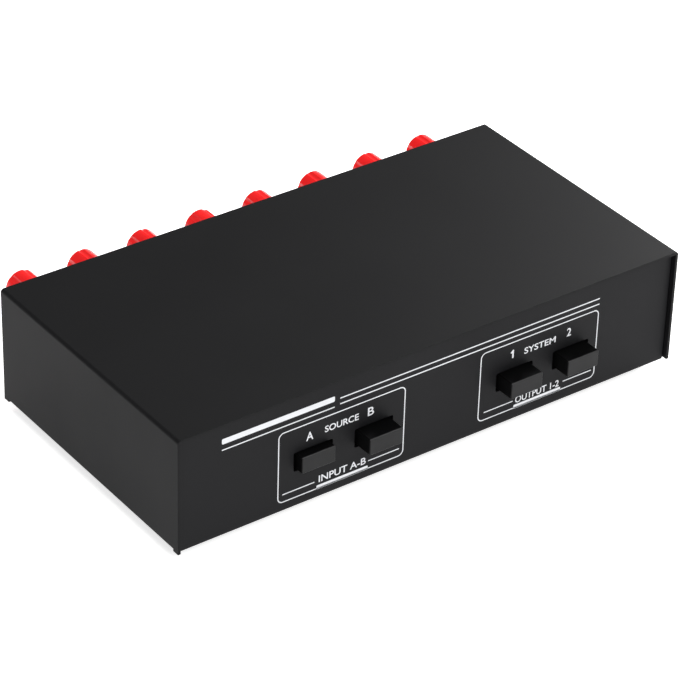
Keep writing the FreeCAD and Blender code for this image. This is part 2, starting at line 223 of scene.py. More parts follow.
def copyTo(piece, name, place):
    # a copy with its own mesh, put at its place
    other = piece.copy()
    other.data = piece.data.copy()
    other.name = name
    other.data.name = name
    bpy.context.scene.collection.objects.link(other)
    other.matrix_world = place
    return applyPlace(other)


def joinPieces(name, pieces):
    deselectAll()
    for piece in pieces:
        piece.select_set(True)
    bpy.context.view_layer.objects.active = pieces[0]
    bpy.ops.object.join()
    return justAdded(name)


def copyToAll(piece, name, places):
    # one joined piece with a copy at each place, in place of the first one
    copies = [copyTo(piece, name, place) for place in places]
    bpy.data.objects.remove(piece)
    return joinPieces(name, copies)


def startBox(name, low, high):
    # a box between two corners, to be shaped further
    low = Vector(low)
    high = Vector(high)
    bpy.ops.mesh.primitive_cube_add(size=1, location=(low + high) / 2)
    piece = justAdded(name)
    piece.scale = high - low
    return applyPlace(piece)


def rods(name, spots, radius, length, axis, sides=48):
    # round bars that start at the spots and run along an axis, joined, for cutting or for adding
    way = {"x": Vector((1, 0, 0)), "y": Vector((0, 1, 0)), "z": Vector((0, 0, 1))}[axis]
    pieces = []
    for spot in spots:
        bpy.ops.mesh.primitive_cylinder_add(vertices=sides, radius=radius, depth=length,
                                            location=Vector(spot) + way * length / 2,
                                            rotation=way.to_track_quat("Z", "Y").to_euler())
        pieces.append(applyPlace(justAdded(name)))
    return joinPieces(name, pieces) if len(pieces) > 1 else pieces[0]


def combine(piece, other, operation="DIFFERENCE"):
    addModifier(piece, "BOOLEAN", {"operation": operation, "solver": "EXACT", "object": other})
    bpy.data.objects.remove(other)


def roundCorners(corners, closed, steps=5):
    # corners are (out from the axis, along the axis, rounding), and each rounding becomes an arc
    points = []
    last = len(corners) - 1
    for i, (out, along, rounding) in enumerate(corners):
        here = Vector((out, along))
        if rounding == 0 or (not closed and i in (0, last)):
            points.append(here)
            continue
        toLast = (Vector(corners[i - 1][:2]) - here).normalized()
        toNext = (Vector(corners[(i + 1) % len(corners)][:2]) - here).normalized()
        half = toLast.angle(toNext) / 2
        middle = here + (toLast + toNext).normalized() * rounding / math.sin(half)
        start = (here + toLast * rounding / math.tan(half) - middle).normalized()
        end = (here + toNext * rounding / math.tan(half) - middle).normalized()
        points += [middle + start.slerp(end, step / steps) * rounding for step in range(steps + 1)]
    if closed:
        points.append(points[0])
    return points


def turnPiece(name, corners, axis, closed=True, sides=72):
    # draws an outline point by point and spins it round the Y or the Z axis, as on a lathe
    way = {"y": Vector((0, 1, 0)), "z": Vector((0, 0, 1))}[axis]
    points = [Vector((p.x, 0, 0)) + way * p.y for p in roundCorners(corners, closed)]
    bpy.ops.mesh.primitive_plane_add(size=mm, location=points[0])
    piece = applyPlace(justAdded(name))
    startEditing(piece)
    bpy.ops.mesh.merge(type="CENTER")
    for last, point in zip(points, points[1:]):
        pull(*(point - last))
    bpy.ops.mesh.select_all(action="SELECT")
    bpy.ops.mesh.remove_doubles(threshold=weld)
    bpy.ops.mesh.select_all(action="SELECT")
    bpy.ops.mesh.spin(steps=sides, angle=math.tau, center=(0, 0, 0), axis=way)
    bpy.ops.mesh.select_all(action="SELECT")
    bpy.ops.mesh.remove_doubles(threshold=weld)
    stopEditing(outward=True)
    return piece


# shared effects, as node groups
def startGroup(name, inputs, outputs):
    group = bpy.data.node_groups.new(name, "ShaderNodeTree")
    for label, value in inputs.items():
        socket = group.interface.new_socket(label, in_out="INPUT", socket_type="NodeSocketFloat")
        socket.default_value = value
    for label in outputs:
        group.interface.new_socket(label, in_out="OUTPUT", socket_type="NodeSocketFloat")
    start = group.nodes.new("NodeGroupInput")
    end = group.nodes.new("NodeGroupOutput")
    return group, start, end


def makeGrainGroup():
    # fine grain for a bump, and wide soft patches for colour and roughness
    group, start, end = startGroup("grain", {"Grain Scale": 3000.0, "Patch Scale": 40.0},
                                   ["Grain", "Patches"])
    coords = group.nodes.new("ShaderNodeTexCoord")
    fine = group.nodes.new("ShaderNodeTexNoise")
    fine.inputs["Detail"].default_value = 3.0
    fine.inputs["Roughness"].default_value = 0.6
    wide = group.nodes.new("ShaderNodeTexNoise")
    wide.inputs["Detail"].default_value = 4.0
    group.links.new(coords.outputs["Object"], fine.inputs["Vector"])
    group.links.new(coords.outputs["Object"], wide.inputs["Vector"])
    group.links.new(start.outputs["Grain Scale"], fine.inputs["Scale"])
    group.links.new(start.outputs["Patch Scale"], wide.inputs["Scale"])
    group.links.new(fine.outputs["Fac"], end.inputs["Grain"])
    group.links.new(wide.outputs["Fac"], end.inputs["Patches"])
    return group


grainGroup = makeGrainGroup()


def grainyMaterial(name, look):
    # a shader whose colour and roughness drift softly, with a fine bump
    material = bpy.data.materials.new(name)
    material.use_nodes = True
    nodes = material.node_tree.nodes
    links = material.node_tree.links
    shader = nodes["Principled BSDF"]
    grain = nodes.new("ShaderNodeGroup")
    grain.node_tree = grainGroup
    grain.inputs["Grain Scale"].default_value = look["grainScale"]
    grain.inputs["Patch Scale"].default_value = look["patchScale"]
    tint = nodes.new("ShaderNodeMix")
    tint.data_type = "RGBA"
    tint.inputs[6].default_value = (*look["dark"], 1)
    tint.inputs[7].default_value = (*look["light"], 1)
    links.new(grain.outputs["Patches"], tint.inputs[0])
    links.new(tint.outputs[2], shader.inputs["Base Color"])
    rough = nodes.new("ShaderNodeMapRange")
    rough.inputs["To Min"].default_value = look["roughLow"]
    rough.inputs["To Max"].default_value = look["roughHigh"]
    rough.inputs["From Min"].default_value = 0.3
    rough.inputs["From Max"].default_value = 0.7
    links.new(grain.outputs["Patches"], rough.inputs["Value"])
    links.new(rough.outputs["Result"], shader.inputs["Roughness"])
    bump = nodes.new("ShaderNodeBump")
    bump.inputs["Strength"].default_value = look["bump"]
    bump.inputs["Distance"].default_value = look["bumpDepth"]
    links.new(grain.outputs["Grain"], bump.inputs["Height"])
    links.new(bump.outputs["Normal"], shader.inputs["Normal"])
    shader.inputs["Metallic"].default_value = look.get("metallic", 0.0)
    shader.inputs["Specular IOR Level"].default_value = look.get("specular", 0.5)
    shader.inputs["Coat Weight"].default_value = look.get("coat", 0.0)
    shader.inputs["Coat Roughness"].default_value = look.get("coatRoughness", 0.1)
    return material


coverPaint = grainyMaterial("cover_paint", {
    "dark": (0.0060, 0.0060, 0.0066), "light": (0.0080, 0.0080, 0.0087),
    "grainScale": 2600.0, "patchScale": 25.0, "roughLow": 0.52, "roughHigh": 0.58,
    "bump": 0.35, "bumpDepth": 0.00003, "specular": 0.10,
})
panelPaint = grainyMaterial("chassis_paint", {
    "dark": (0.0060, 0.0060, 0.0070), "light": (0.0080, 0.0080, 0.0090),
    "grainScale": 2600.0, "patchScale": 25.0, "roughLow": 0.52, "roughHigh": 0.58,
    "bump": 0.35, "bumpDepth": 0.00003, "specular": 0.12,
})
whiteInk = grainyMaterial("white_ink", {
    "dark": (0.64, 0.65, 0.68), "light": (0.78, 0.79, 0.81),
    "grainScale": 4000.0, "patchScale": 300.0, "roughLow": 0.55, "roughHigh": 0.7,
    "bump": 0.2, "bumpDepth": 0.00002, "specular": 0.3,
})
capPlastic = grainyMaterial("cap_plastic", {
    "dark": (0.0020, 0.0020, 0.0022), "light": (0.0030, 0.0030, 0.0032),
    "grainScale": 3500.0, "patchScale": 120.0, "roughLow": 0.30, "roughHigh": 0.38,
    "bump": 0.1, "bumpDepth": 0.00002, "specular": 0.15,
})
# painted highlight: a much lighter plastic laid on the upper front rounding of the caps, where light catches
# the edge
capRimPaintedHighlight = grainyMaterial("cap_rim_painted_highlight", {
    "dark": (0.030, 0.030, 0.031), "light": (0.042, 0.042, 0.043),
    "grainScale": 3500.0, "patchScale": 120.0, "roughLow": 0.45, "roughHigh": 0.55,
    "bump": 0.2, "bumpDepth": 0.00002, "specular": 0.3,
})
# matt plastic for the cap fronts, its colour painted lighter than the caps' sides for the light falling on
# the front
capFaceMattPaintedLight = grainyMaterial("cap_face_matt_painted_light", {
    "dark": (0.0085, 0.0085, 0.0091), "light": (0.0110, 0.0110, 0.0116),
    "grainScale": 3500.0, "patchScale": 120.0, "roughLow": 0.55, "roughHigh": 0.65,
    "bump": 0.4, "bumpDepth": 0.00003, "specular": 0.25,
})
redPlastic = grainyMaterial("red_plastic", {
    "dark": (0.86, 0.004, 0.006), "light": (0.98, 0.010, 0.010),
    "grainScale": 1500.0, "patchScale": 150.0, "roughLow": 0.28, "roughHigh": 0.36,
    "bump": 0.08, "bumpDepth": 0.00002, "specular": 0.3, "coat": 0.05, "coatRoughness": 0.15,
})
blackPlastic = grainyMaterial("black_plastic", {
    "dark": (0.010, 0.010, 0.011), "light": (0.015, 0.015, 0.016),
    "grainScale": 1500.0, "patchScale": 150.0, "roughLow": 0.28, "roughHigh": 0.36,
    "bump": 0.08, "bumpDepth": 0.00002, "specular": 0.45, "coat": 0.15, "coatRoughness": 0.15,
})
nickel = grainyMaterial("nickel_plate", {
    "dark": (0.62, 0.60, 0.55), "light": (0.74, 0.72, 0.68),
    "grainScale": 2500.0, "patchScale": 200.0, "roughLow": 0.18, "roughHigh": 0.3,
    "bump": 0.05, "bumpDepth": 0.00002, "metallic": 1.0,
})
blackZinc = grainyMaterial("screw_steel", {
    "dark": (0.07, 0.07, 0.075), "light": (0.13, 0.13, 0.14),
    "grainScale": 2500.0, "patchScale": 300.0, "roughLow": 0.28, "roughHigh": 0.42,
    "bump": 0.1, "bumpDepth": 0.00002, "metallic": 1.0,
})
springSteel = grainyMaterial("spring_steel", {
    "dark": (0.45, 0.45, 0.46), "light": (0.58, 0.58, 0.58),
    "grainScale": 2500.0, "patchScale": 200.0, "roughLow": 0.25, "roughHigh": 0.4,
    "bump": 0.05, "bumpDepth": 0.00002, "metallic": 1.0,
})
footRubber = grainyMaterial("foot_rubber", {
    "dark": (0.012, 0.012, 0.012), "light": (0.022, 0.022, 0.022),
    "grainScale": 1800.0, "patchScale": 200.0, "roughLow": 0.65, "roughHigh": 0.8,
    "bump": 0.5, "bumpDepth": 0.00004, "specular": 0.3,
})
switchPlastic = grainyMaterial("switch_plastic", {
    "dark": (0.66, 0.64, 0.58), "light": (0.76, 0.74, 0.69),
    "grainScale": 1500.0, "patchScale": 150.0, "roughLow": 0.4, "roughHigh": 0.5,
    "bump": 0.1, "bumpDepth": 0.00002,
})
fibre = grainyMaterial("fibre_washer", {
    "dark": (0.28, 0.08, 0.04), "light": (0.38, 0.13, 0.07),
    "grainScale": 1500.0, "patchScale": 400.0, "roughLow": 0.6, "roughHigh": 0.75,
    "bump": 0.2, "bumpDepth": 0.00002,
})
laminate = grainyMaterial("board_laminate", {
    "dark": (0.38, 0.26, 0.11), "light": (0.48, 0.34, 0.16),
    "grainScale": 900.0, "patchScale": 150.0, "roughLow": 0.4, "roughHigh": 0.55,
    "bump": 0.1, "bumpDepth": 0.00002,
})
wireSleeve = grainyMaterial("wire_sleeve", {
    "dark": (0.40, 0.01, 0.01), "light": (0.52, 0.02, 0.02),
    "grainScale": 900.0, "patchScale": 150.0, "roughLow": 0.35, "roughHigh": 0.5,
    "bump": 0.05, "bumpDepth": 0.00002,
})
slotMaterials = {
    "cover_paint": coverPaint, "chassis_paint": panelPaint, "cap_plastic": capPlastic,
    "red_plastic": redPlastic, "black_plastic": blackPlastic, "nickel_plate": nickel,
    "screw_steel": blackZinc, "spring_steel": springSteel, "foot_rubber": footRubber,
    "switch_plastic": switchPlastic, "fibre_washer": fibre, "board_laminate": laminate,
    "wire_sleeve": wireSleeve,
}


def dressCadNodes():
    slots = {entry["node"]: entry["material_slot"] for entry in frame["record"]["subparts"]}
    for name, piece in frame["nodes"].items():
        piece.data.materials.clear()
        piece.data.materials.append(slotMaterials[slots[name]])


dressCadNodes()
print("materials made:", len(bpy.data.materials))


# screws, one turned on the lathe and copied
screwShape = {
    "head": 2.75 * mm,
    "headHeight": 1.6 * mm,
    "headRounding": 0.72 * mm,
    "shank": 1.45 * mm,
    "coverLength": 5.0 * mm,
    "boardLength": 4.0 * mm,
    "crossLength": 3.4 * mm,
    "crossWidth": 0.8 * mm,
    "crossDepth": 0.7 * mm,
    "soft": 0.05 * mm,
}


def makeScrew(length):
    # the head's face is at z 0, and the shank points up
    look = screwShape
    top = look["headHeight"] + length
    screw = turnPiece("screw", [
        (0, 0, 0), (look["head"], 0, look["headRounding"]), (look["head"], look["headHeight"], 0.1 * mm),
        (look["shank"], look["headHeight"], 0), (look["shank"], top, 0.3 * mm), (0, top, 0),
    ], "z", closed=False, sides=48)
    reach = look["crossLength"] / 2
    half = look["crossWidth"] / 2
    depth = look["crossDepth"]
    combine(screw, startBox("cross", (-reach, -half, -depth), (reach, half, depth)))
    combine(screw, startBox("cross", (-half, -reach, -depth), (half, reach, depth)))
    softenEdges(screw, look["soft"])
    smoothByAngle(screw)
    return screw


def screwSpots(node):
    low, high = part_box(node)
    inset = screwShape["head"]
    return [(x, y) for x in (low.x + inset, high.x - inset) for y in (low.y + inset, high.y - inset)]


def makeScrews():
    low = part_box("cover_screws")[0].z
    screws = copyToAll(makeScrew(screwShape["coverLength"]), "cover_pan_screws",
                       [Matrix.Translation((x, y, low)) for x, y in screwSpots("cover_screws")])
    finishPiece(screws, blackZinc, "case", "screw_steel", "cover_screws")
    low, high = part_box("board_screws")
    upright = [Matrix.Translation((x, y, low.z)) for x, y in screwSpots("board_screws")]
    turnedOver = [Matrix.Translation((x, y, high.z)) @ Matrix.Rotation(math.pi, 4, "X")
                  for x, y in screwSpots("board_screws")]
    screws = copyToAll(makeScrew(screwShape["boardLength"]), "board_pan_screws", upright + turnedOver)
    finishPiece(screws, blackZinc, "case", "screw_steel", "board_screws")


makeScrews()
print("screws made")


# the cover, one sheet folded into an upside-down U with flanges at its foot
coverFold = {
    "sheet": 1.0 * mm,
    "bend": 1.15 * mm,
    "bendSteps": 8,
    "flange": 10.0 * mm,
    "tip": 2.6 * mm,
    "tipDrop": 0.3 * mm,
    "tipShow": 0.15 * mm,
    "tipHeight": 5.0 * mm,
    "threadHole": 1.5 * mm,
    "threadCollar": 2.6 * mm,
    "collarHeight": 1.5 * mm,
    "soft": 0.12 * mm,
}


def foldCover():
    look = coverFold
    foot = coverLow.z + look["tipDrop"]
    openHalf = coverHigh.x - look["flange"]
    frontTip = coverLow.y + look["tip"]
    rearTip = coverHigh.y - look["tip"]
    tipTop = foot + look["tipHeight"]
    cover = startBox("folded_cover", (coverLow.x, coverLow.y, foot), coverHigh)
    startEditing(cover)
    pick(cover, "FACE", lambda face: abs(face.normal.y) > along)
    bpy.ops.mesh.delete(type="ONLY_FACE")
    pick(cover, "EDGE", lambda edge: abs(edgeWay(edge).y) > along)
    bpy.ops.mesh.bevel(offset=look["bend"], segments=look["bendSteps"], affect="EDGES")
    for spot, way in (((openHalf, 0, 0), (1, 0, 0)), ((-openHalf, 0, 0), (1, 0, 0)),
                      ((0, frontTip, 0), (0, 1, 0)), ((0, rearTip, 0), (0, 1, 0)),
                      ((0, 0, tipTop), (0, 0, 1))):
        bpy.ops.mesh.select_all(action="SELECT")
        sliceAt(spot, way)
    pick(cover, "FACE", lambda face: face.normal.z < -along and abs(face.calc_center_median().x) < openHalf)
    bpy.ops.mesh.delete(type="FACE")

    def atTip(spot):
        return (spot.y < frontTip or spot.y > rearTip) and spot.z < tipTop + look["soft"]

    pick(cover, "FACE", lambda face: atTip(face.calc_center_median()))
    bpy.ops.mesh.delete(type="FACE")
    for level, drop in ((tipTop, look["tipHeight"] - look["bend"]),
                        (foot + look["bend"], look["bend"] + look["tipShow"])):
        pick(cover, "EDGE", lambda edge: abs(edgeWay(edge).y) > along and atTip(edgeMiddle(edge))
             and abs(edgeMiddle(edge).z - level) < look["soft"])
        pull(0, 0, -drop)
        bpy.ops.mesh.select_all(action="SELECT")
        bpy.ops.mesh.remove_doubles(threshold=weld)
    stopEditing(outward=True)
    addModifier(cover, "SOLIDIFY", {"thickness": look["sheet"], "offset": -1, "use_even_offset": True})
    collarTop = foot + look["sheet"] + look["collarHeight"]
    spots = [(x, y, foot + look["sheet"] / 2) for x, y in screwSpots("cover_screws")]
    combine(cover, rods("collars", spots, look["threadCollar"], collarTop - spots[0][2], "z"), "UNION")
    spots = [(x, y, foot - mm) for x, y in screwSpots("cover_screws")]
    combine(cover, rods("holes", spots, look["threadHole"], collarTop - foot + 2 * mm, "z"))
    softenEdges(cover, look["soft"])
    smoothByAngle(cover)
    evenShading(cover)
    finishPiece(cover, coverPaint, "case", "cover_paint", "top_cover")


foldCover()
print("cover folded")


# the chassis, one sheet folded into the front panel, the floor and the rear panel
trayFold = {
    "sheet": 1.0 * mm,
    "bend": 1.15 * mm,
    "bendSteps": 8,
    "windowGapX": 1.0 * mm,
    "windowGapZ": 0.45 * mm,
    "windowCorner": 0.5 * mm,
    "terminalHole": 4.0 * mm,
    "screwHole": 1.7 * mm,
    "soft": 0.1 * mm,
}
terminalNumbers = range(1, 9)


def middleOf(node):
    low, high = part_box(node)
    return (low + high) / 2


def cutWindow(name):
    look = trayFold
    low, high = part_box("button_cap_" + name)
    gap = Vector((look["windowGapX"], 0, look["windowGapZ"]))
    front = trayLow.y - mm
    back = trayLow.y + look["sheet"] + mm
    window = startBox("window", Vector((low.x, front, low.z)) - gap, Vector((high.x, back, high.z)) + gap)
    startEditing(window)
    pick(window, "EDGE", lambda edge: abs(edgeWay(edge).y) > along)
    bpy.ops.mesh.bevel(offset=look["windowCorner"], segments=5, affect="EDGES")
    stopEditing()
    return window


def foldTray():
    look = trayFold
    tray = startBox("folded_chassis", trayLow, trayHigh)
    startEditing(tray)
    pick(tray, "FACE", lambda face: face.normal.z > along or abs(face.normal.x) > along)
    bpy.ops.mesh.delete(type="ONLY_FACE")
    pick(tray, "EDGE", lambda edge: abs(edgeWay(edge).x) > along
         and edgeMiddle(edge).z < trayLow.z + look["soft"])
    bpy.ops.mesh.bevel(offset=look["bend"], segments=look["bendSteps"], affect="EDGES")
    stopEditing(outward=True)
    addModifier(tray, "SOLIDIFY", {"thickness": look["sheet"], "offset": -1, "use_even_offset": True})
    windows = [cutWindow(name) for name in "ab12"]
    combine(tray, joinPieces("windows", windows))
    spots = [middleOf(colour + "_nut_" + str(i)) for colour in ("red", "black") for i in terminalNumbers]
    spots = [(spot.x, trayHigh.y - look["sheet"] - mm, spot.z) for spot in spots]
    combine(tray, rods("terminalHoles", spots, look["terminalHole"], look["sheet"] + 2 * mm, "y"))
    spots = [(x, y, trayLow.z - mm) for node in ("cover_screws", "board_screws") for x, y in screwSpots(node)]
    combine(tray, rods("screwHoles", spots, look["screwHole"], look["sheet"] + 2 * mm, "z"))
    softenEdges(tray, look["soft"])
    smoothByAngle(tray)
    evenShading(tray)
    finishPiece(tray, panelPaint, "case", "chassis_paint", "chassis")


foldTray()
print("chassis folded")


# the push-button caps, matt on the front with a painted lighter tone there for the light falling on it,
# smooth on their sides, and with a painted highlight along the upper rim
capShape = {
    "edge": 0.35 * mm,
    "wall": 1.2 * mm,
    "face": 1.6 * mm,
    "stem": 3.4 * mm,
    "frontNormal": 0.97,     # faces that look forward by more than this are matt, and painted lighter for the light falling on them
    "highlightNormal": 0.3,        # front rounding that looks up by more than this gets the painted highlight
}


def mouldCap(name):
    look = capShape
    low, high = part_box("button_cap_" + name)
    middle = (low + high) / 2
    hollowX = (high.x - low.x) / 2 - look["wall"]
    hollowZ = (high.z - low.z) / 2 - look["wall"]
    stemHalf = look["stem"] / 2
    socketHalf = stemHalf + look["wall"]
    cap = startBox("push_cap_" + name, low, high)
    startEditing(cap)
    pick(cap, "EDGE", lambda edge: abs(edgeWay(edge).y) > along
         or edgeMiddle(edge).y < low.y + look["edge"] / 2)
    bpy.ops.mesh.bevel(offset=look["edge"], segments=4, affect="EDGES")
    pick(cap, "FACE", lambda face: face.normal.y > along)
    bpy.ops.mesh.inset(thickness=look["wall"], use_even_offset=True)

    def inHollow(face):
        spot = face.calc_center_median() - middle
        return face.normal.y > along and abs(spot.x) < hollowX and abs(spot.z) < hollowZ

    for x in (-socketHalf, -stemHalf, stemHalf, socketHalf):
        pick(cap, "FACE", inHollow)
        sliceAt((middle.x + x, 0, 0), (1, 0, 0))
    depth = high.y - low.y - look["face"]
    pick(cap, "FACE", lambda face: inHollow(face)
         and abs(face.calc_center_median().x - middle.x) > socketHalf)
    pull(0, -depth, 0)
    pick(cap, "FACE", lambda face: inHollow(face)
         and abs(face.calc_center_median().x - middle.x) < stemHalf)
    pull(0, look["wall"] - depth, 0)
    stopEditing(outward=True)
    smoothByAngle(cap, 30)
    evenShading(cap)
    finishPiece(cap, capPlastic, "button_" + name, "cap_plastic", "button_cap_" + name)
    cap.data.materials.append(capFaceMattPaintedLight)
    cap.data.materials.append(capRimPaintedHighlight)
    # forward faces take the matt front plastic painted lighter for the light on them, and upward front
    # rounding takes the painted highlight
    for face in cap.data.polygons:
        if face.normal.y < -look["frontNormal"]:
            face.material_index = 1
        elif face.center.y < low.y + look["edge"] and face.normal.z > look["highlightNormal"]:
            face.material_index = 2


for capName in "ab12":
    mouldCap(capName)
print("caps moulded")


# the return springs of the buttons, coiled from round wire
springShape = {
    "wire": 0.25 * mm,
    "wireSides": 10,
    "turns": 5,
    "stepsPerTurn": 24,
}


def coilSpring(name):
    look = springShape
    low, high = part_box("return_spring_" + name)
    middle = (low + high) / 2
    radius = (high.x - low.x) / 2 - look["wire"]
    start = low.y + look["wire"]
    pitch = (high.y - look["wire"] - start) / look["turns"]
    bpy.ops.mesh.primitive_circle_add(vertices=look["wireSides"], radius=look["wire"],
                                      location=(radius, 0, 0))
    spring = applyPlace(justAdded("coil_spring_" + name))
    addModifier(spring, "SCREW", {"axis": "Y", "angle": math.tau, "screw_offset": pitch,
                                  "iterations": look["turns"], "steps": look["stepsPerTurn"],
                                  "render_steps": look["stepsPerTurn"], "use_merge_vertices": False})
    spring.location = (middle.x, start, middle.z)
    applyPlace(spring)
    startEditing(spring)
    pick(spring, "EDGE", lambda edge: edge.is_boundary)
    bpy.ops.mesh.edge_face_add()
    stopEditing(outward=True)
    smoothByAngle(spring, 60)
    finishPiece(spring, springSteel, None, "spring_steel", "return_spring_" + name)
    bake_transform(spring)


for springName in "ab12":
    coilSpring(springName)
print("springs coiled")


# the binding posts: collars through the panel, plated posts, clamp rings and fluted nuts
terminalShape = {
    "collar": 5.4 * mm,
    "collarRounding": 0.4 * mm,
    "boss": 3.8 * mm,
    "seat": 3.05 * mm,
    "seatDepth": 2.0 * mm,
    "studHole": 2.1 * mm,
    "stud": 1.95 * mm,
    "post": 3.0 * mm,
    "postChamfer": 0.3 * mm,
    "plug": 2.0 * mm,
    "plugDepth": 10.5 * mm,
    "wireHole": 0.9 * mm,
    "wireHoleAhead": 1.5 * mm,
    "ring": 4.6 * mm,
    "nut": 5.4 * mm,
    "nutRounding": 0.6 * mm,
    "mouth": 2.5 * mm,
    "lip": 0.8 * mm,
    "flutes": 6,
    "fluteRadius": 1.7 * mm,
    "fluteDepth": 0.42 * mm,
    "fluteStart": 1.2 * mm,
    "soft": 0.08 * mm,
    "redTurns": (9, 31, 18, 4, 22, 40, 27, 36),
    "blackTurns": (25, 2, 33, 14, 44, 19, 8, 29),
}


def makeNut(length):
    # its panel end is at y 0, and its open mouth at the far end
    look = terminalShape
    soft = look["soft"]
    nut = turnPiece("nut", [
        (look["seat"], 0, soft), (look["nut"], 0, look["nutRounding"]),
        (look["nut"], length, look["nutRounding"]), (look["mouth"], length, 2 * soft),
        (look["mouth"], length - look["lip"], soft), (look["seat"], length - look["lip"], 0),
    ], "y", sides=96)
    centre = look["nut"] + look["fluteRadius"] - look["fluteDepth"]
    angles = [math.tau * i / look["flutes"] for i in range(look["flutes"])]
    spots = [(centre * math.cos(a), look["fluteStart"], centre * math.sin(a)) for a in angles]
    combine(nut, rods("flutes", spots, look["fluteRadius"], length, "y", sides=64))
    softenEdges(nut, soft, 25)
    smoothByAngle(nut, 40)
    return nut


def makeRing(thickness):
    look = terminalShape
    soft = look["soft"]
    ring = turnPiece("ring", [
        (look["seat"], 0, soft), (look["ring"], 0, 2 * soft), (look["ring"], thickness, 2 * soft),
        (look["seat"], thickness, soft),
    ], "y")
    smoothByAngle(ring)
    return ring


def makeCollar(wallBack, wallFront, end):
    look = terminalShape
    seat = end - look["seatDepth"]
    collar = turnPiece("collar", [
        (look["studHole"], wallBack, 0), (look["boss"], wallBack, look["soft"]), (look["boss"], wallFront, 0),
        (look["collar"], wallFront, look["soft"]), (look["collar"], end, look["collarRounding"]),
        (look["seat"], end, look["soft"]), (look["seat"], seat, 0), (look["studHole"], seat, 0),
    ], "y")
    smoothByAngle(collar)
    return collar


def makePost(studStart, seat, end, hole):
    look = terminalShape
    bottom = end - look["plugDepth"]
    post = turnPiece("post", [
        (0, studStart, 0), (look["stud"], studStart, look["postChamfer"]), (look["stud"], seat, 0),
        (look["post"], seat, look["soft"]), (look["post"], end, look["postChamfer"]),
        (look["plug"], end, 2 * look["soft"]), (look["plug"], bottom, 0), (0, bottom, 0),
    ], "y", closed=False)
    reach = look["post"] + mm
    combine(post, rods("wireHole", [(-reach, hole, 0)], look["wireHole"], 2 * reach, "x"))
    smoothByAngle(post)
    return post


def makeTerminals():
    look = terminalShape
    ringLow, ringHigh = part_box("red_clamp_ring_1")
    nutLow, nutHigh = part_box("red_nut_1")
    baseLow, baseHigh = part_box("red_terminal_bases")
    postLow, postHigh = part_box("terminal_posts")
    nut = makeNut(nutHigh.y - nutLow.y)
    ring = makeRing(ringHigh.y - ringLow.y)
    collar = makeCollar(baseLow.y, trayHigh.y, baseHigh.y)
    post = makePost(postLow.y, baseHigh.y - look["seatDepth"], postHigh.y, baseHigh.y + look["wireHoleAhead"])
    postPlaces = []
    for colour, turns, material in (("red", look["redTurns"], redPlastic),
                                    ("black", look["blackTurns"], blackPlastic)):
        places = []
        for i, degrees in zip(terminalNumbers, turns):
            number = str(i)
            middle = middleOf(colour + "_nut_" + number)
            places.append(Matrix.Translation((middle.x, 0, middle.z)))
            turn = Matrix.Rotation(-math.radians(degrees), 4, "Y")
            place = Matrix.Translation((middle.x, nutLow.y, middle.z)) @ turn
            oneNut = copyTo(nut, colour + "_finger_nut_" + number, place)
            nutName = colour + "_nut_" + number
            finishPiece(oneNut, material, nutName, colour + "_plastic", nutName)
            place = Matrix.Translation((middle.x, ringLow.y, middle.z))
            oneRing = copyTo(ring, colour + "_washer_" + number, place)
            finishPiece(oneRing, nickel, colour + "_ring_" + number, "nickel_plate",
                        colour + "_clamp_ring_" + number)
        collars = joinPieces(colour + "_collars", [copyTo(collar, "collar", place) for place in places])
        finishPiece(collars, material, "case", colour + "_plastic", colour + "_terminal_bases")
        postPlaces += places
    posts = copyToAll(post, "plated_posts", postPlaces)
    finishPiece(posts, nickel, "case", "nickel_plate", "terminal_posts")
    for pattern in (nut, ring, collar):
        bpy.data.objects.remove(pattern)


makeTerminals()
print("terminals made")


# four rubber feet with a moulded ring groove
footShape = {
    "top": 6.0 * mm,
    "bottom": 5.2 * mm,
    "rounding": 0.5 * mm,
    "grooveInner": 3.2 * mm,
    "grooveOuter": 3.9 * mm,
    "grooveDepth": 0.35 * mm,
    "slant": 0.15 * mm,
    "soft": 0.1 * mm,
}


def makeFeet():
    look = footShape
    low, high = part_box("rubber_feet")
    height = high.z - low.z
    soft = look["soft"]
    foot = turnPiece("foot", [
        (0, 0, 0), (look["grooveInner"] - look["slant"], 0, soft),
        (look["grooveInner"], look["grooveDepth"], soft), (look["grooveOuter"], look["grooveDepth"], soft),
        (look["grooveOuter"] + look["slant"], 0, soft), (look["bottom"], 0, look["rounding"]),
        (look["top"], height, 0), (0, height, 0),
    ], "z", closed=False)
    smoothByAngle(foot)
    inset = look["top"]
    places = [Matrix.Translation((x, y, low.z)) for x in (low.x + inset, high.x - inset)
              for y in (low.y + inset, high.y - inset)]
    feet = copyToAll(foot, "moulded_feet", places)
    finishPiece(feet, footRubber, "case", "foot_rubber", "rubber_feet")


makeFeet()
print("feet made")


# white screen print on the panels
frontPrint = {
    "ink": 0.04 * mm,
    "line": 0.36 * mm,
    "textSwell": 0.012,      # how much bolder the letters are, in the font's own units
    "textWeld": 0.0005,
    "frameWidth": 47.1 * mm,
    "frameHeight": 25.6 * mm,
    "frameCorner": 2.0 * mm,
    "letterHeight": 3.0 * mm,
    "letterWidths": {"A": 2.6 * mm, "B": 2.3 * mm, "2": 1.7 * mm},
    "stem": 0.6 * mm,
    "flag": 1.1 * mm,
    "flagTilt": -40,
    "wordHeight": 2.3 * mm,
    "wordWidth": 12.5 * mm,
    "labelHeight": 2.5 * mm,
    "labelWidth": 17.6 * mm,
    "barHeight": 1.3 * mm,
    "barDrop": 0.1 * mm,
    "stripeLow": 30.0 * mm,
}
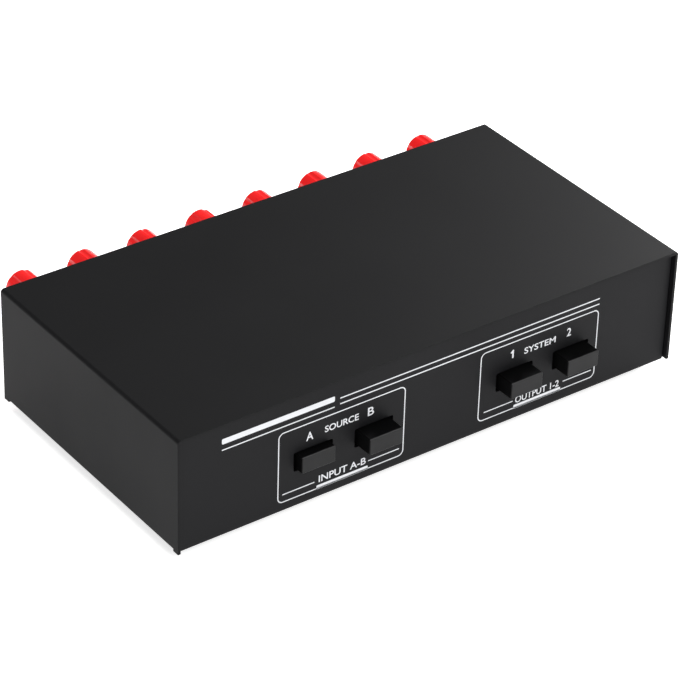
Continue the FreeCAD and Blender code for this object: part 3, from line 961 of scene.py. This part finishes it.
# each frame: its middle, its word and label, the ends of its strokes, and its letters as (text, x, z)
frontFrames = {
    "left": {"x": -34.85, "low": 2.55, "word": ("SOURCE", -35.1, 23.45), "label": ("INPUT A-B", -34.4, 6.0),
             "bar": (-44.0, -24.8), "strokes": ((-56.6, -44.8), (-24.7, -13.0)), "strokeZ": 5.45,
             "letters": (("A", -46.9, 23.25), ("B", -24.3, 23.65))},
    "right": {"x": 41.05, "low": 3.3, "word": ("SYSTEM", 41.1, 23.75), "label": ("OUTPUT 1-2", 41.2, 6.3),
              "bar": (31.8, 50.65), "strokes": ((19.9, 31.4), (51.6, 63.1)), "strokeZ": 6.25,
              "letters": (("1", 30.3, 24.35), ("2", 52.7, 24.45))},
}
# the title row: bars as (from x, to x, from z, to z)
titleStripes = ((-78.6, -38.0, 2.3, 4.2), (-78.6, -38.0, 0.1, 0.5),
                (-36.0, 64.5, 0.5, 0.9), (-36.0, 64.5, 2.55, 2.95))


def inkBar(name, x0, x1, z0, z1):
    # a flat strip of ink with rounded ends, standing proud of the panel by the thickness of the print
    strip = startBox(name, (x0, -frontPrint["ink"] / 2, z0), (x1, frontPrint["ink"] / 2, z1))
    startEditing(strip)
    pick(strip, "EDGE", lambda edge: abs(edgeWay(edge).y) > along)
    bpy.ops.mesh.bevel(offset=min(z1 - z0, x1 - x0) * 0.2, segments=3, affect="EDGES")
    stopEditing()
    return strip


def inkFrame(name, x, z, width, height):
    look = frontPrint
    bpy.ops.mesh.primitive_plane_add(size=1, location=(x, 0, z), rotation=(math.pi / 2, 0, 0))
    outline = justAdded(name)
    outline.scale = (width, height, 1)
    applyPlace(outline)
    startEditing(outline)
    bpy.ops.mesh.bevel(offset=look["frameCorner"], segments=8, affect="VERTICES")
    bpy.ops.mesh.select_all(action="SELECT")
    bpy.ops.mesh.inset(thickness=look["line"], use_even_offset=True)
    bpy.ops.mesh.delete(type="FACE")
    bpy.ops.mesh.select_all(action="SELECT")
    pull(0, look["ink"], 0)
    stopEditing(outward=True)
    outline.location.y = -look["ink"] / 2
    return applyPlace(outline)


def inkText(name, words, x, z, width, height, facing=-1):
    # words sized to their place, where facing is -1 for the front panel and 1 for the rear one
    bpy.ops.object.text_add(location=(0, 0, 0))
    lettering = justAdded(name)
    lettering.data.body = words
    lettering.data.extrude = 0.5
    lettering.data.offset = frontPrint["textSwell"]
    lettering.data.resolution_u = 6
    bpy.ops.object.convert(target="MESH")
    lettering = justAdded(name)
    startEditing(lettering)
    bpy.ops.mesh.remove_doubles(threshold=frontPrint["textWeld"])
    stopEditing(outward=True)
    corners = [Vector(corner) for corner in lettering.bound_box]
    low = Vector(map(min, *corners))
    high = Vector(map(max, *corners))
    size = high - low
    turn = 0 if facing < 0 else math.pi
    fit = Matrix.Diagonal((width / size.x, height / size.y, frontPrint["ink"] / size.z, 1))
    upright = Matrix.Rotation(turn, 4, "Z") @ Matrix.Rotation(math.pi / 2, 4, "X")
    centred = Matrix.Translation(-(low + high) / 2)
    lettering.matrix_world = Matrix.Translation((x, 0, z)) @ upright @ fit @ centred
    return applyPlace(lettering)


def inkOne(name, x, z, height, facing=-1):
    # the number 1, drawn as a stem with a slanted flag
    look = frontPrint
    half = look["stem"] / 2
    stem = inkBar(name, -half, half, -height / 2, height / 2)
    flag = inkBar(name, -look["flag"], half, -half, half)
    flag.matrix_world = (Matrix.Translation((0, 0, height / 2 - half))
                         @ Matrix.Rotation(math.radians(look["flagTilt"]), 4, "Y"))
    combine(stem, applyPlace(flag), "UNION")
    stem.matrix_world = Matrix.Translation((x, 0, z)) @ Matrix.Rotation(0 if facing < 0 else math.pi, 4, "Z")
    return applyPlace(stem)


def layPrint(name, pieces, face):
    # joins the print and lays it on the face of a panel, half of its thickness proud
    whole = joinPieces(name, pieces)
    whole.location.y = face
    applyPlace(whole)
    finishPiece(whole, whiteInk, "case", "white_ink")


def printFront():
    look = frontPrint
    pieces = []
    for side, marks in frontFrames.items():
        low = caseFoot + marks["low"] * mm
        pieces.append(inkFrame(side + "Frame", marks["x"] * mm, low + look["frameHeight"] / 2,
                               look["frameWidth"], look["frameHeight"]))
        barLeft, barRight = marks["bar"]
        pieces.append(inkBar(side + "Bar", barLeft * mm, barRight * mm,
                             low - look["barDrop"], low + look["barHeight"]))
        strokeZ = caseFoot + marks["strokeZ"] * mm
        for left, right in marks["strokes"]:
            pieces.append(inkBar(side + "Stroke", left * mm, right * mm,
                                 strokeZ - look["line"] / 2, strokeZ + look["line"] / 2))
        words, x, z = marks["word"]
        pieces.append(inkText(side + "Word", words, x * mm, caseFoot + z * mm,
                              look["wordWidth"], look["wordHeight"]))
        words, x, z = marks["label"]
        pieces.append(inkText(side + "Label", words, x * mm, caseFoot + z * mm,
                              look["labelWidth"], look["labelHeight"]))
        for letter, x, z in marks["letters"]:
            if letter == "1":
                pieces.append(inkOne("number1", x * mm, caseFoot + z * mm, look["letterHeight"]))
            else:
                pieces.append(inkText("letter" + letter, letter, x * mm, caseFoot + z * mm,
                                      look["letterWidths"][letter], look["letterHeight"]))
    base = caseFoot + look["stripeLow"]
    for left, right, bottom, top in titleStripes:
        pieces.append(inkBar("stripe", left * mm, right * mm, base + bottom * mm, base + top * mm))
    layPrint("front_print", pieces, trayLow.y)


rearPrint = {
    "frameWidth": 41.5 * mm,
    "frameHeight": 36.4 * mm,
    "frameRise": 0.9 * mm,
    "channelHeight": 2.2 * mm,
    "channelWidth": 1.6 * mm,
    "groupHeight": 3.6 * mm,
    "groupWidth": 3.2 * mm,
    "numberWidth": 2.0 * mm,
    "signSize": 2.4 * mm,
    "channelAbove": 7.6 * mm,
    "groups": "21BA",
}


def printRear():
    look = rearPrint
    pieces = []
    for pair, group in enumerate(look["groups"]):
        first = middleOf("red_nut_" + str(2 * pair + 1))
        second = middleOf("red_nut_" + str(2 * pair + 2))
        lower = middleOf("black_nut_" + str(2 * pair + 1))
        x = (first.x + second.x) / 2
        z = (first.z + lower.z) / 2
        pieces.append(inkFrame("pairFrame", x, (trayLow.z + trayHigh.z) / 2 + look["frameRise"],
                               look["frameWidth"], look["frameHeight"]))
        if group == "1":
            pieces.append(inkOne("group", x, z, look["groupHeight"], 1))
        else:
            width = look["numberWidth"] if group == "2" else look["groupWidth"]
            pieces.append(inkText("group", group, x, z, width, look["groupHeight"], 1))
        for spot, channel in ((first, "R"), (second, "L")):
            pieces.append(inkText("channel", channel, spot.x, spot.z + look["channelAbove"],
                                  look["channelWidth"], look["channelHeight"], 1))
        half = look["signSize"] / 2
        thin = frontPrint["line"] / 2
        pieces.append(inkBar("plus", x - half, x + half, first.z - thin, first.z + thin))
        pieces.append(inkBar("plus", x - thin, x + thin, first.z - half, first.z + half))
        pieces.append(inkBar("minus", x - half, x + half, lower.z - thin, lower.z + thin))
    layPrint("rear_print", pieces, trayHigh.y)


printFront()
printRear()
print("panels printed")


# floor and lights
studio = {
    "floorSize": 12.0,
    "floorColour": (0.97, 0.97, 0.97),
    "floorGlow": 0.7,
    "worldColour": (1.0, 1.0, 1.0),
    "worldStrength": 0.3,
    "key": {"spot": (0.0, -1.6, 1.5), "size": 1.4, "power": 21.0},
    "side": {"spot": (0.6, 0.2, 0.3), "size": 0.25, "power": 4.2},
    "top": {"spot": (0.0, 0.1, 2.0), "size": 1.6, "power": 17.0},
}


def floorMaterial():
    material = bpy.data.materials.new("floor")
    material.use_nodes = True
    shader = material.node_tree.nodes["Principled BSDF"]
    shader.inputs["Base Color"].default_value = (*studio["floorColour"], 1)
    shader.inputs["Roughness"].default_value = 0.9
    shader.inputs["Specular IOR Level"].default_value = 0.1
    shader.inputs["Emission Color"].default_value = (1, 1, 1, 1)
    shader.inputs["Emission Strength"].default_value = studio["floorGlow"]
    return material


def makeFloor():
    bpy.ops.mesh.primitive_plane_add(size=studio["floorSize"], location=(0, 0, 0))
    floor = justAdded("floor")
    floor.data.materials.append(floorMaterial())


def makeLight(name, spot, size, power):
    data = bpy.data.lights.new(name, "AREA")
    data.size = size
    data.energy = power
    light = bpy.data.objects.new(name, data)
    light.location = spot
    aim = Vector((0, 0, 0.02)) - Vector(spot)
    light.rotation_euler = aim.to_track_quat("-Z", "Y").to_euler()
    bpy.context.scene.collection.objects.link(light)


def makeWorld():
    world = bpy.data.worlds.new("studio")
    world.use_nodes = True
    shade = world.node_tree.nodes["Background"]
    shade.inputs["Color"].default_value = (*studio["worldColour"], 1)
    shade.inputs["Strength"].default_value = studio["worldStrength"]
    bpy.context.scene.world = world


makeFloor()
makeWorld()
for lightName in ("key", "side", "top"):
    makeLight(lightName, **studio[lightName])
bpy.context.scene.view_settings.view_transform = "Standard"
print("studio set")
